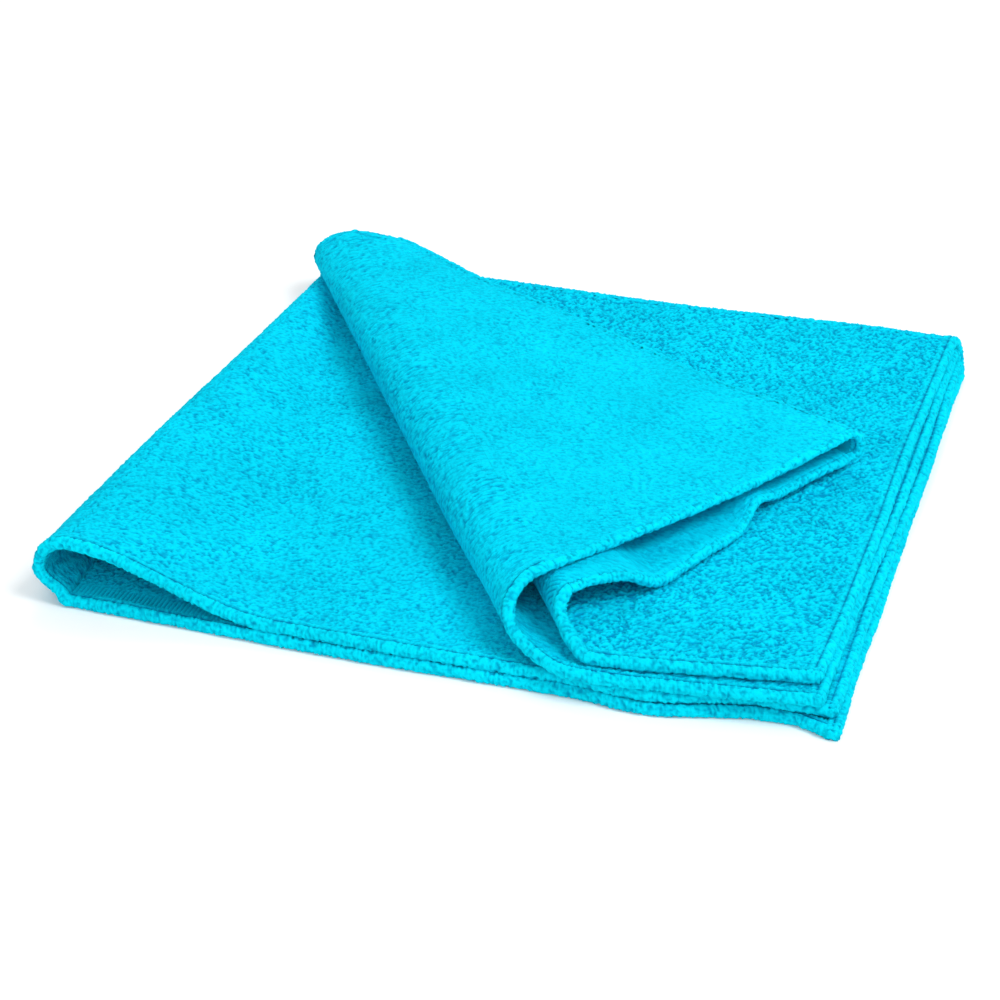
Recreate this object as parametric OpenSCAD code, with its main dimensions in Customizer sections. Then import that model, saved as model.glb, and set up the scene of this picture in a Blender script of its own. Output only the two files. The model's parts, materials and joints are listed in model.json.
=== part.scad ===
// Terry microfibre detailing cloth, folded in quarters with one corner of the top
// pair turned back. Millimetres, +Z up, origin at the middle of the footprint on
// the surface that the cloth lies on. X runs along the front, Y runs to the back.

/* [Cloth] */
// Side of the folded cloth along the front, half of the cut width
fold_w = 200; // [160:5:240]
// Side of the folded cloth from front to back, half of the cut length
fold_d = 210; // [160:5:240]
// Thickness of one ply, pile included
ply_t = 3; // [2:0.5:4]
// Width of the overlocked hem
hem_w = 4; // [3:0.5:8]
// How far the front edge bows out between the crease and the left edge
front_bow = 4.5; // [0:0.5:6]

/* [Left fold] */
// Height of the left loop at the front
loop_front_h = 19; // [14:0.5:24]
// Height of the left loop at the back
loop_back_h = 6.4; // [6.3:0.1:6.8]
// Distance from the left edge at which the second ply lies flat again
slope_end = 64; // [50:1:80]

/* [Turned-back corner] */
// Angle of the crease from the back edge, at the back left corner
crease_angle = 58; // [56:0.5:60]
// Radius of the roll of the outer ply, to the middle of the ply
outer_roll_r = 7.5; // [6.5:0.25:8]
// Radius of the roll of the inner ply, to the middle of the ply
inner_roll_r = 3.4; // [3:0.1:3.8]
// Gap between the two rolls, ply face to ply face
roll_gap = 4; // [2:0.5:6]
// How far the outer flap ply falls from the crease to the folded edge
flap_fall = 1; // [0:0.25:2]
// How far the inner flap ply sags below the top of its roll
flap_sag = 2.6; // [1:0.1:3]
// How far the front edge of the third ply stands back from the bottom ply's
third_inset = 1; // [0:0.5:3]
// How far the front edge of the top ply stands back from the bottom ply's
top_inset = 5; // [2:0.5:8]

/* [Hidden] */

cloth_colour = [0.0, 0.80, 0.93];
hem_colour = [0.0, 0.66, 0.80];

left_x = -fold_w / 2;
right_x = fold_w / 2;
front_y = -fold_d / 2;
back_y = fold_d / 2;
half_t = ply_t / 2;

// Middle heights of the four flat plies, bottom to top
ply_z = [for (k = [0 : 3]) (k + 0.5) * ply_t];

// The two back folds are half tubes along X
inner_back_r = half_t;
outer_back_r = 3 * half_t;
fold_axis_y = back_y - 4 * half_t;
fold_axis_z = 2 * ply_t;

// The crease runs from the back left corner to the front edge
crease_dir = [cos(crease_angle), -sin(crease_angle)];
across_dir = [sin(crease_angle), cos(crease_angle)];
corner = [left_x, back_y];

// Centre lines of the rolls, measured across from the crease
outer_axis_a = outer_roll_r + half_t;
inner_axis_a = ply_t + roll_gap + half_t + inner_roll_r;
outer_axis_z = ply_z[2] + outer_roll_r;
inner_axis_z = ply_z[3] + inner_roll_r;
outer_top_z = ply_z[2] + 2 * outer_roll_r;
inner_top_z = ply_z[3] + 2 * inner_roll_r;
roll_start = 13;
edge_start_a = inner_axis_a + 2;
crease_front_x = crease_xy(outer_axis_a, front_y)[0];
ply_inset = [0, 0.5, third_inset, top_inset];

// The tip of the flap is the front left corner, turned over about the crease
tip_along = fold_d * sin(crease_angle);
tip_across = fold_d * cos(crease_angle) + 2 * outer_axis_a - PI * outer_roll_r;
edge_upper_z = outer_top_z - flap_fall;
edge_r = half_t + 0.2;
edge_lower_z = edge_upper_z - 2 * edge_r;

arc_steps = 16;
flap_steps = 12;
slope_steps = 12;
bow_steps = 12;
slope_end_back = 3.2;

function mix(a, b, u) = a + (b - a) * u;
function ease(u) = u * u * (3 - 2 * u);

// A point from its distance along the crease, distance across it and height
function crease_point(along, across, z) = [
    corner[0] + along * crease_dir[0] + across * across_dir[0],
    corner[1] + along * crease_dir[1] + across * across_dir[1],
    z
];

// Distance along the crease at which a line in from the front edge is met,
// for cloth that lies flat
function front_along(across, inset) =
    (fold_d - inset + across * cos(crease_angle)) / sin(crease_angle);

// Closed sheet between two grids of points with the same rows and columns
module sheet(upper, lower) {
    rows = len(upper);
    cols = len(upper[0]);
    count = rows * cols;
    points = concat([for (row = upper) each row], [for (row = lower) each row]);
    top = [for (i = [0 : rows - 2]) for (j = [0 : cols - 2])
        each [
            [i * cols + j, (i + 1) * cols + j, (i + 1) * cols + j + 1],
            [i * cols + j, (i + 1) * cols + j + 1, i * cols + j + 1]
        ]];
    bottom = [for (f = top) [f[0] + count, f[2] + count, f[1] + count]];
    rim = concat(
        [for (j = [0 : cols - 1]) j],
        [for (i = [1 : rows - 1]) i * cols + cols - 1],
        [for (j = [cols - 2 : -1 : 0]) (rows - 1) * cols + j],
        [for (i = [rows - 2 : -1 : 1]) i * cols]
    );
    walls = [for (k = [0 : len(rim) - 1])
        let (a = rim[k], b = rim[(k + 1) % len(rim)])
        each [[a, b, b + count], [a, b + count, a + count]]];
    polyhedron(points = points, faces = concat(top, bottom, walls));
}

// One flat ply, as a polygon in plan at its own height
module flat_ply(level, outline) {
    translate([0, 0, level * ply_t])
        linear_extrude(height = ply_t)
            polygon(outline);
}

// Front edge of a ply: an arc that bows out at the crease
function front_at(x, level) =
    front_y + ply_inset[level] + front_bow * pow((x - crease_front_x) / (fold_w / 2), 2);

// Points of the front edge from one X to another, moved back by an inset
function front_edge(x_from, x_to, level, inset) =
    [for (k = [0 : bow_steps])
        let (x = mix(x_from, x_to, k / bow_steps))
        [x, front_at(x, level) + inset]];

// Where a line beside the crease meets a line across the footprint
function crease_xy(axis_a, y) =
    let (along = (corner[1] + axis_a * across_dir[1] - y) / sin(crease_angle))
    [corner[0] + along * crease_dir[0] + axis_a * across_dir[0], y];

// A ply without its hems, between its left edge in front, its left edge behind
// and the right hem
module ply_field(level, left_front, left_back) {
    flat_ply(level, concat(
        front_edge(left_front, right_x - hem_w, level, hem_w),
        [[right_x - hem_w, fold_axis_y], [left_back, fold_axis_y]]
    ));
}

// The front hem of a ply; its left end may lie askew, along a fold
module front_hem(level, left_front, left_back) {
    outer = front_edge(left_front, right_x, level, 0);
    inner = front_edge(left_back, right_x, level, hem_w);
    flat_ply(level, concat(outer, [for (k = [bow_steps : -1 : 0]) inner[k]]));
}

module right_hem(level) {
    flat_ply(level, [
        [right_x - hem_w, front_at(right_x - hem_w, level) + hem_w],
        [right_x, front_at(right_x, level) + hem_w],
        [right_x, fold_axis_y],
        [right_x - hem_w, fold_axis_y]
    ]);
}

// Half tube behind the plies, between two distances along X
module back_fold(radius, x_from, x_to) {
    translate([x_from, fold_axis_y, fold_axis_z])
        rotate([90, 0, 90])
            linear_extrude(height = x_to - x_from)
                difference() {
                    circle(r = radius + half_t, $fn = 48);
                    circle(r = radius - half_t, $fn = 48);
                    translate([-4 * radius, -2 * radius - ply_t])
                        square([4 * radius, 4 * radius + 2 * ply_t]);
                }
}

// The inner back fold closes on itself, so it is a solid half round
module inner_fold(x_from, x_to) {
    translate([x_from, fold_axis_y, fold_axis_z])
        rotate([90, 0, 90])
            linear_extrude(height = x_to - x_from)
                difference() {
                    circle(r = ply_t, $fn = 48);
                    translate([-2 * ply_t, -2 * ply_t])
                        square([2 * ply_t, 4 * ply_t]);
                }
}

// Left loop: radius to the middle of the ply at a distance along Y
function loop_r(y) =
    (mix(loop_front_h, loop_back_h, (y - front_y) / fold_d) - ply_t) / 2;

// The line on which the loop goes over into the plies
function loop_edge(y) = left_x + loop_r(y) + half_t;

function loop_point(r, y, angle, offset) = [
    left_x + r + half_t - (r + offset) * sin(angle),
    y,
    half_t + r - (r + offset) * cos(angle)
];

module loop_piece(stations) {
    outer = [for (s = stations) [for (k = [0 : arc_steps])
        loop_point(s[0], s[1], 180 * k / arc_steps, half_t)]];
    inner = [for (s = stations) [for (k = [0 : arc_steps])
        loop_point(s[0], s[1], 180 * k / arc_steps, -half_t)]];
    sheet(inner, outer);
}

// Each station holds the radius of the loop and its place along Y
loop_front = front_at(loop_edge(front_y), 0);
front_station = [loop_r(front_y), loop_front];
hem_station = [loop_r(front_y + hem_w), loop_front + hem_w];
back_station = [loop_r(fold_axis_y), fold_axis_y];

// The second ply comes down from the loop and lies flat
function slope_end_x(r) =
    left_x + mix(slope_end_back, slope_end, (r - loop_r(back_y)) / (loop_r(front_y) - loop_r(back_y)));

function slope_point(station, u, offset) =
    let (r = station[0],
         x = mix(left_x + r + half_t, slope_end_x(r), u),
         bow = station[1] == fold_axis_y ? 0 : front_at(x, 0) - loop_front)
    [x, station[1] + bow, mix(half_t + 2 * r, ply_z[1], ease(u)) + offset];

module slope_piece(stations) {
    upper = [for (s = stations) [for (k = [0 : slope_steps]) slope_point(s, k / slope_steps, half_t)]];
    lower = [for (s = stations) [for (k = [0 : slope_steps]) slope_point(s, k / slope_steps, -half_t)]];
    sheet(lower, upper);
}

// Rolls: the ply turns half round an axis beside the crease
module roll_piece(radius, axis_a, axis_z, along_from, along_to) {
    translate(crease_point(along_from, axis_a, axis_z))
        rotate([90, 0, 90 - crease_angle])
            linear_extrude(height = along_to - along_from)
                difference() {
                    circle(r = radius + half_t, $fn = 48);
                    circle(r = radius - half_t, $fn = 48);
                    translate([0, -2 * radius - ply_t])
                        square([2 * radius + ply_t, 4 * radius + 2 * ply_t]);
                }
}

// Where a roll ends at the front: the middle of its laid-out width
function roll_front(radius, axis_a, inset) = front_along(axis_a - PI * radius / 2, inset);

// Flap plies run from the top of a roll to the folded edge. The share v goes
// across, the share u goes from the back left corner to the front.
function flap_along(axis_a, radius, inset, v, u) =
    let (root = front_along(axis_a - PI * radius, inset))
    mix(roll_start, mix(root, tip_along, v), u);

function flap_across(axis_a, v, u) = mix(axis_a, mix(edge_start_a, tip_across, u), v);

function upper_z(v) = mix(outer_top_z, edge_upper_z, v);
function lower_z(v) = mix(inner_top_z, edge_lower_z, ease(v)) - flap_sag * sin(180 * pow(v, 0.6));

// Share of the flap's length at which its hem begins
function flap_hem_share(v) = 1 - hem_w / (fold_d * mix(1.15, 0.85, v));

module flap_piece(axis_a, radius, inset, is_upper, is_hem) {
    shares = [for (k = [0 : flap_steps]) k / flap_steps];
    function level(v) = is_upper ? upper_z(v) : lower_z(v);
    function point(v, u, offset) =
        crease_point(flap_along(axis_a, radius, inset, v, u), flap_across(axis_a, v, u), level(v) + offset);
    function near(v) = is_hem ? flap_hem_share(v) : 0;
    function far(v) = is_hem ? 1 : flap_hem_share(v);
    upper = [for (e = [0, 1]) [for (v = shares) point(v, mix(near(v), far(v), e), half_t)]];
    lower = [for (e = [0, 1]) [for (v = shares) point(v, mix(near(v), far(v), e), -half_t)]];
    sheet(upper, lower);
}

// The folded edge of the flap joins its two plies
module edge_piece(is_hem) {
    start = is_hem ? flap_hem_share(1) : 0;
    end = is_hem ? 1 : flap_hem_share(1);
    mid_z = (edge_upper_z + edge_lower_z) / 2;
    function point(u, angle, offset) =
        crease_point(
            mix(roll_start, tip_along, u),
            mix(edge_start_a, tip_across, u) + (edge_r + offset) * sin(angle),
            mid_z + (edge_r + offset) * cos(angle)
        );
    outer = [for (u = [start, end]) [for (k = [0 : arc_steps]) point(u, 180 * k / arc_steps, half_t)]];
    inner = [for (u = [start, end]) [for (k = [0 : arc_steps]) point(u, 180 * k / arc_steps, -half_t)]];
    sheet(outer, inner);
}

hem_line_y = front_y + hem_w;
slope_front_x = slope_end_x(loop_r(front_y));
slope_hem_x = slope_end_x(loop_r(hem_line_y));
slope_back_x = slope_end_x(loop_r(fold_axis_y));
fold_left_x = crease_xy(inner_axis_a, fold_axis_y)[0];

module bottom_quarter() { color(cloth_colour) ply_field(0, loop_edge(hem_line_y), loop_edge(fold_axis_y)); }
module bottom_front_hem() { color(hem_colour) front_hem(0, loop_edge(front_y), loop_edge(hem_line_y)); }
module bottom_right_hem() { color(hem_colour) right_hem(0); }
module second_quarter() { color(cloth_colour) ply_field(1, slope_hem_x, slope_back_x); }
module second_front_hem() { color(hem_colour) front_hem(1, slope_front_x, slope_hem_x); }
module second_right_hem() { color(hem_colour) right_hem(1); }
module left_panel() { color(cloth_colour) slope_piece([hem_station, back_station]); }
module left_panel_hem() { color(hem_colour) slope_piece([front_station, hem_station]); }
module left_fold() { color(cloth_colour) loop_piece([hem_station, back_station]); }
module left_fold_hem() { color(hem_colour) loop_piece([front_station, hem_station]); }

// The upper pair of plies starts at the rolls beside the crease
function crease_front_at(axis_a, inset) = crease_xy(axis_a, front_y + inset)[0];

module crease_field(level, axis_a) {
    ply_field(level, crease_front_at(axis_a, ply_inset[level] + hem_w), crease_xy(axis_a, fold_axis_y)[0]);
}

module crease_hem(level, axis_a) {
    front_hem(level, crease_front_at(axis_a, ply_inset[level]),
        crease_front_at(axis_a, ply_inset[level] + hem_w));
}

module third_quarter() { color(cloth_colour) crease_field(2, outer_axis_a); }
module third_front_hem() { color(hem_colour) crease_hem(2, outer_axis_a); }
module third_right_hem() { color(hem_colour) right_hem(2); }
module top_quarter() { color(cloth_colour) crease_field(3, inner_axis_a); }
module top_front_hem() { color(hem_colour) crease_hem(3, inner_axis_a); }
module top_right_hem() { color(hem_colour) right_hem(3); }
module inner_back_fold() { color(cloth_colour) inner_fold(fold_left_x, right_x - hem_w); }
module inner_back_fold_hem() { color(hem_colour) inner_fold(right_x - hem_w, right_x); }
module outer_back_fold() { color(cloth_colour) back_fold(outer_back_r, fold_left_x, right_x - hem_w); }
module outer_back_fold_hem() { color(hem_colour) back_fold(outer_back_r, right_x - hem_w, right_x); }

outer_end = roll_front(outer_roll_r, outer_axis_a, third_inset);
inner_end = roll_front(inner_roll_r, inner_axis_a, top_inset);

module outer_roll() {
    color(cloth_colour)
        roll_piece(outer_roll_r, outer_axis_a, outer_axis_z, roll_start, outer_end - hem_w);
}

module outer_roll_hem() {
    color(hem_colour)
        roll_piece(outer_roll_r, outer_axis_a, outer_axis_z, outer_end - hem_w, outer_end);
}

module inner_roll() {
    color(cloth_colour)
        roll_piece(inner_roll_r, inner_axis_a, inner_axis_z, roll_start, inner_end - hem_w);
}

module inner_roll_hem() {
    color(hem_colour)
        roll_piece(inner_roll_r, inner_axis_a, inner_axis_z, inner_end - hem_w, inner_end);
}

module flap_upper_ply() {
    color(cloth_colour) flap_piece(outer_axis_a, outer_roll_r, third_inset, true, false);
}

module flap_upper_hem() {
    color(hem_colour) flap_piece(outer_axis_a, outer_roll_r, third_inset, true, true);
}

module flap_lower_ply() {
    color(cloth_colour) flap_piece(inner_axis_a, inner_roll_r, top_inset, false, false);
}

module flap_lower_hem() {
    color(hem_colour) flap_piece(inner_axis_a, inner_roll_r, top_inset, false, true);
}

module flap_edge_fold() { color(cloth_colour) edge_piece(false); }
module flap_edge_fold_hem() { color(hem_colour) edge_piece(true); }

bottom_quarter();
bottom_front_hem();
bottom_right_hem();
second_quarter();
second_front_hem();
second_right_hem();
left_panel();
left_panel_hem();
left_fold();
left_fold_hem();
third_quarter();
third_front_hem();
third_right_hem();
top_quarter();
top_front_hem();
top_right_hem();
inner_back_fold();
inner_back_fold_hem();
outer_back_fold();
outer_back_fold_hem();
outer_roll();
outer_roll_hem();
inner_roll();
inner_roll_hem();
flap_upper_ply();
flap_upper_hem();
flap_lower_ply();
flap_lower_hem();
flap_edge_fold();
flap_edge_fold_hem();
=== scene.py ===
import json
import math

import bmesh
import bpy
import numpy as np
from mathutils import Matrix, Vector


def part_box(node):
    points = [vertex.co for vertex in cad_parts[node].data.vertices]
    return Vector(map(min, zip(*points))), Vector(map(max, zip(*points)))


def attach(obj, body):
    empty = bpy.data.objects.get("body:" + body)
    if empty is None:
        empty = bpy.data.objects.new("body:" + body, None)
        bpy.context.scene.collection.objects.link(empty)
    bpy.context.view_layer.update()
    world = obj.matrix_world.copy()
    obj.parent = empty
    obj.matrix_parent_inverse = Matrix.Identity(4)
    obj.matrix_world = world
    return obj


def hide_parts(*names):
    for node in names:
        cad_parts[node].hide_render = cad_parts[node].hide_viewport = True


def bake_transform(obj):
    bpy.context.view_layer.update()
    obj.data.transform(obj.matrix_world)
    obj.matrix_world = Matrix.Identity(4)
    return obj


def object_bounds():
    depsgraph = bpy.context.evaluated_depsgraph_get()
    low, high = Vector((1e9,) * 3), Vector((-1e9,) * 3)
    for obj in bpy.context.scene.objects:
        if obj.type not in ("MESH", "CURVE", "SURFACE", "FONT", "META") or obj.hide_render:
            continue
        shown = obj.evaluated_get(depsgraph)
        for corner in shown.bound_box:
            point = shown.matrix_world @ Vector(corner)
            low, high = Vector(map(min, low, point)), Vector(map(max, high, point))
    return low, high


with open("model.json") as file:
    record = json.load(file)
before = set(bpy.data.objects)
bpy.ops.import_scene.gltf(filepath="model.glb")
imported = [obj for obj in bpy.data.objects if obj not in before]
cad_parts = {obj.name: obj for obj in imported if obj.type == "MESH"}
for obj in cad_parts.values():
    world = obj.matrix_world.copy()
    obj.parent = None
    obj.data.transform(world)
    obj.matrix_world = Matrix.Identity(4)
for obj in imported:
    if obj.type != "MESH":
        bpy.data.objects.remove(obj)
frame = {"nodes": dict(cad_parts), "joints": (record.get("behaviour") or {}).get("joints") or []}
cad_low, cad_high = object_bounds()

MM = 0.001

# ---------------------------------------------------------------- camera

AIM = Vector((1.0, -34.2, 12.0)) * MM
AZIMUTH = math.radians(17.43)
ELEVATION = math.radians(28.16)
DISTANCE = 704 * MM
LENS = 97.85
SENSOR = 36

camera_data = bpy.data.cameras.new("camera")
camera_data.lens = LENS
camera_data.sensor_width = SENSOR
camera = bpy.data.objects.new("camera", camera_data)
away = Vector((
    math.sin(AZIMUTH) * math.cos(ELEVATION),
    -math.cos(AZIMUTH) * math.cos(ELEVATION),
    math.sin(ELEVATION),
))
camera.location = AIM + away * DISTANCE
camera.rotation_euler = (math.pi / 2 - ELEVATION, 0, AZIMUTH)
bpy.context.scene.collection.objects.link(camera)
bpy.context.scene.camera = camera
bpy.context.scene.view_settings.view_transform = "Standard"

# ---------------------------------------------------------------- sizes from the frame

LEFT, RIGHT = cad_low.x, cad_high.x
FRONT, BACK = cad_low.y, cad_high.y
WIDTH, DEPTH = RIGHT - LEFT, BACK - FRONT
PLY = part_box("top_quarter")[1].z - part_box("top_quarter")[0].z
HALF = PLY / 2
PLY_Z = [(level + 0.5) * PLY for level in range(4)]

ALONG = np.array(frame["joints"][0]["axis"][:2])
ACROSS = np.array([-ALONG[1], ALONG[0]])
CORNER = np.array([LEFT, BACK])

outer_low, outer_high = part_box("outer_roll")
OUTER_R = (outer_high.z - outer_low.z) / 2 - HALF
OUTER_Z = (outer_high.z + outer_low.z) / 2
OUTER_A = OUTER_R + HALF
inner_low, inner_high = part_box("inner_roll")
INNER_R = (inner_high.z - inner_low.z) / 2 - HALF
ROLL_GAP = 5.2 * MM
INNER_A = PLY + ROLL_GAP + HALF + INNER_R
INNER_TALL = 4.6 * MM
INNER_MID_Z = PLY_Z[3] + INNER_TALL
OUTER_FAT = 5 * MM

LOOP_FRONT_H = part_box("left_fold_hem")[1].z
LOOP_BACK_H = 9 * MM
SLOPE_END = 64 * MM
SLOPE_END_BACK = 12 * MM
FOLD_Y = BACK - 2 * PLY
OUTER_FOLD_REACH = 1.5 * PLY + 0.5 * MM
LOOP_SIDE = LEFT - 4 * MM

FRONT_INSET = [2.5 * MM, 3.5 * MM, 0.8 * MM, 4.1 * MM]
SIDE_INSET = [-0.5 * MM, 0.0 * MM, 0.8 * MM, 2.5 * MM]

ROLL_START = 13 * MM
ROLL_BACK = 8 * MM
EDGE_START_A = INNER_A + 2 * MM
TIP_ALONG = DEPTH * -ALONG[1]
TIP_ACROSS = DEPTH * ALONG[0] + 2 * OUTER_A - math.pi * OUTER_R
EDGE_R = 3.5 * MM
EDGE_UPPER_Z = OUTER_Z + OUTER_R - 2 * MM
EDGE_LOWER_Z = EDGE_UPPER_Z - 2 * EDGE_R
FLAP_STEP = 0.47
BACK_HOLLOW = 0.004

KNIT_WALL = 1.7 * MM
PILE_BASE = 0.6 * MM
PILE_DEPTH = 1.05 * MM
HEM_WIDE = 3.2 * MM
HEM_THICK = 2.3 * MM
FLAP_HEM_THICK = 1.5 * MM
RIB_REACH = 9 * MM
RIB_FADE = 3 * MM
SMOOTH_HEIGHT = 0.55
SMOOTH_TONE = 0.9
BARE_EDGE = 1.5 * MM
EDGE_FADE = 1.3 * MM
STITCH_PITCH = 1.15 * MM
NEEDLE_INSET = 1.7 * MM
DASH_STEP = 0.47 * MM
DASH_RADII = [0.06 * MM, 0.11 * MM, 0.12 * MM, 0.12 * MM, 0.11 * MM, 0.06 * MM]
DASH_SIDES = 5
RIM_STEP = 2 * MM
FLOOR_CLEAR = 0.02 * MM
SAME_PLACE = 0.02 * MM
FIBRE_TALL = 0.7 * MM

# ---------------------------------------------------------------- seeds of the random pile

# pieces with the same seed share one pile, which runs on from each to the next
TOP_FACE = 11
TOP_UNDERSIDE = 13
THIRD_FACE = 17
THIRD_UNDERSIDE = 19
PANEL_FACE = 23
POCKET_FACE = 29
POCKET_ROOF_FACE = 31
BACK_FACE = 37
BOTTOM_FACE = 41
BACK_CORNER_FACE = 43
ROLL_END_FACE = 47
HEM_SEED = 80

# ---------------------------------------------------------------- small helpers


def mix(a, b, u):
    return a + (b - a) * u


def ease(u):
    u = np.clip(u, 0, 1)
    return u * u * (3 - 2 * u)


def ramp(value, start, reach):
    """Rises smoothly from 0 at start to 1 at start + reach."""
    return ease((value - start) / reach)


def hill(value, top, reach):
    """A smooth hill, 1 at its top and about a third at reach to either side."""
    return np.exp(-((value - top) / reach) ** 2)


def stack(x, y, z):
    return np.stack(np.broadcast_arrays(x, y, z), axis=-1).astype(float)


def unit(v):
    return v / np.maximum(np.linalg.norm(v, axis=-1, keepdims=True), 1e-12)


def chance(i, j, seed):
    """A number from 0 to 1 for each whole-number place, the same on every run."""
    n = i.astype(np.int64) * 374761393 + j.astype(np.int64) * 668265263 + seed * 362437
    for shift, factor in ((15, 739982445), (12, 695872825), (15, 0)):
        n = n & 0xFFFFFFFF
        n = n ^ (n >> shift)
        n = n * factor if factor else n
    return (n & 0xFFFF) / 65535.0


def swell(s, t, size, seed):
    """Smooth random relief from 0 to 1, with hills about size across."""
    x, y = s / size, t / size
    i, j = np.floor(x), np.floor(y)
    u, v = ease(x - i), ease(y - j)
    low = mix(chance(i, j, seed), chance(i + 1, j, seed), u)
    high = mix(chance(i, j + 1, seed), chance(i + 1, j + 1, seed), u)
    return mix(low, high, v)


def loop_crowns(s, t, cell, seed):
    """Short pile loops lying every way: up to 1 on each crown, 0 in the gaps."""
    row_pitch = 0.85
    scatter = 0.8
    half_long, half_wide = 0.9, 0.6
    x, y = s / cell, t / (cell * row_pitch)
    i, j = np.floor(x), np.floor(y)
    best = np.zeros_like(x)
    for di in (-1, 0, 1):
        for dj in (-1, 0, 1):
            ci, cj = i + di, j + dj
            dx = x - (ci + 0.5 + scatter * (chance(ci, cj, seed) - 0.5))
            dy = y - (cj + 0.5 + scatter * (chance(ci, cj, seed + 1) - 0.5))
            turn = math.pi * chance(ci, cj, seed + 2)
            long_way = dx * np.cos(turn) + dy * np.sin(turn)
            short_way = dy * np.cos(turn) - dx * np.sin(turn)
            reach = (long_way / half_long) ** 2 + (short_way / half_wide) ** 2
            crown = 0.55 + 0.45 * chance(ci, cj, seed + 5)
            best = np.maximum(best, crown * (1 - reach))
    return best


def pile_height(s, t, seed):
    """Height of the terry pile, from 0 in the gaps to 1 on the crowns."""
    bend = 0.8 * MM
    bend_size = 2.3 * MM
    curl_size = 0.95 * MM
    loop_size = 1.15 * MM
    s, t = (
        s + bend * swell(s, t, bend_size, seed + 3),
        t + bend * swell(s, t, bend_size, seed + 4),
    )
    curls = 1 - np.abs(2 * swell(s, t, curl_size, seed + 6) - 1)
    return np.clip(0.6 * loop_crowns(s, t, loop_size, seed) + 0.5 * curls ** 1.5, 0, 1)


# ---------------------------------------------------------------- shape of the folded cloth


def crease_point(along, across, z):
    x = CORNER[0] + along * ALONG[0] + across * ACROSS[0]
    y = CORNER[1] + along * ALONG[1] + across * ACROSS[1]
    return stack(x, y, z)


def crease_frame(x, y):
    """Across and along the crease for a place on the laid-out cloth."""
    dx, dy = x - CORNER[0], y - CORNER[1]
    return dx * ACROSS[0] + dy * ACROSS[1], dx * ALONG[0] + dy * ALONG[1]


def crease_x(across, y):
    along = (CORNER[1] + across * ACROSS[1] - y) / -ALONG[1]
    return CORNER[0] + along * ALONG[0] + across * ACROSS[0]


def front_along(across, inset):
    """How far along the crease the laid-out front edge is met."""
    return (DEPTH - inset + across * ALONG[0]) / -ALONG[1]


def front_gap(along, laid_across, inset):
    """Distance of a laid-out place from the front edge."""
    return CORNER[1] + along * ALONG[1] + laid_across * ACROSS[1] - FRONT - inset


CREASE_FRONT_X = crease_x(OUTER_A, FRONT)


def fall_back(x, level):
    """How much further back than its middle a ply's front edge lies."""
    if level < 2:
        left = 3.5 * MM * ease(-x / (110 * MM))
        belly = 2.2 * MM * hill(x, 55 * MM, 11 * MM)
        right = 4 * MM * ramp(x, 60 * MM, 25 * MM)
        corner = 3.5 * MM * ease((x - RIGHT + 12 * MM) / (12 * MM)) * (1 - level)
        return left - belly + right - corner
    beyond = np.clip((x - RIGHT + 55 * MM) / (55 * MM), 0, None)
    return (7.2 if level == 3 else 5.5) * MM * beyond ** 1.4


def settle(x, y, level):
    """Moves a laid-out place so that the plies' edges bow and fan as they lie."""
    to_front = (FOLD_Y - y) / (FOLD_Y - FRONT)
    to_right = np.clip((x - LEFT) / WIDTH, 0, 1) ** 3
    to_left = np.clip((RIGHT - x) / WIDTH, 0, 1) ** 3
    wave = 0.5 * MM * np.sin((y - FRONT) / (27 * MM) + 1.9 * level)
    spread = 1.7 * MM * ease((BACK - 15 * MM - y) / (70 * MM)) * (level < 2)
    flare = 1.5 * MM * ease((FRONT + 30 * MM - y) / (28 * MM)) * (level == 0)
    bulge = 0.9 * MM * hill(y, -30 * MM, 50 * MM)
    shift = to_right * (wave + spread + flare - SIDE_INSET[level]) - to_left * bulge
    return x + shift, y + to_front * fall_back(x, level)


def lie(x, y):
    """Slow unevenness of plies that lie free."""
    bumps = np.sin(x / (23 * MM) + 1.3) * np.sin(y / (31 * MM) + 0.4)
    return 0.5 * MM * bumps + 0.3 * MM * np.sin((x + 1.7 * y) / (17 * MM))


def loop_r(y):
    share = np.clip((y - FRONT) / DEPTH, 0, 1)
    return (mix(LOOP_FRONT_H, LOOP_BACK_H, share) - PLY) / 2


def loop_edge(y):
    share = (y - FRONT) / DEPTH
    return LEFT + loop_r(y) + HALF - 1.2 * MM * (1 - share)


def loop_surface(turn, y):
    """Left fold: turn 0 at the table, half a turn at the crest."""
    r = loop_r(y)
    x, lying_y = settle(loop_edge(y), y, 1)
    to_front = 1 - np.clip((y - FRONT) / (120 * MM), 0, 1)
    tuck = 5.5 * MM * to_front * np.sin(turn) * hill(turn, 0.6, 0.5)
    return stack(x - r * np.sin(turn) + tuck, lying_y, HALF + r - r * np.cos(turn))


def loop_place(turn, y):
    """The left fold with its front end following the two plies it joins."""
    to_front = (FOLD_Y - y) / (FOLD_Y - FRONT - FRONT_INSET[0])
    return loop_surface(turn, y + (FRONT_INSET[1] - FRONT_INSET[0]) * turn / math.pi * to_front)


def first_surface(x, y):
    return stack(*settle(x, y, 0), PLY_Z[0])


def second_surface(x, y):
    """Comes down from the crest of the left fold and then lies flat."""
    share = np.clip((y - FRONT) / DEPTH, 0, 1)
    start = loop_edge(y)
    end = LEFT + mix(SLOPE_END, SLOPE_END_BACK, share)
    down = ramp(x, start, end - start)
    z = mix(HALF + 2 * loop_r(y), PLY_Z[1] + 0.4 * lie(x, y), down)
    return stack(*settle(x, y, 1), z)


def third_surface(x, y):
    return stack(*settle(x, y, 2), PLY_Z[2] + 0.6 * lie(x, y))


def top_surface(x, y):
    puff = 0.7 * MM * ease((y - FOLD_Y + 25 * MM) / (25 * MM))
    return stack(*settle(x, y, 3), PLY_Z[3] + 0.8 * lie(x, y) + puff)


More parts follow.
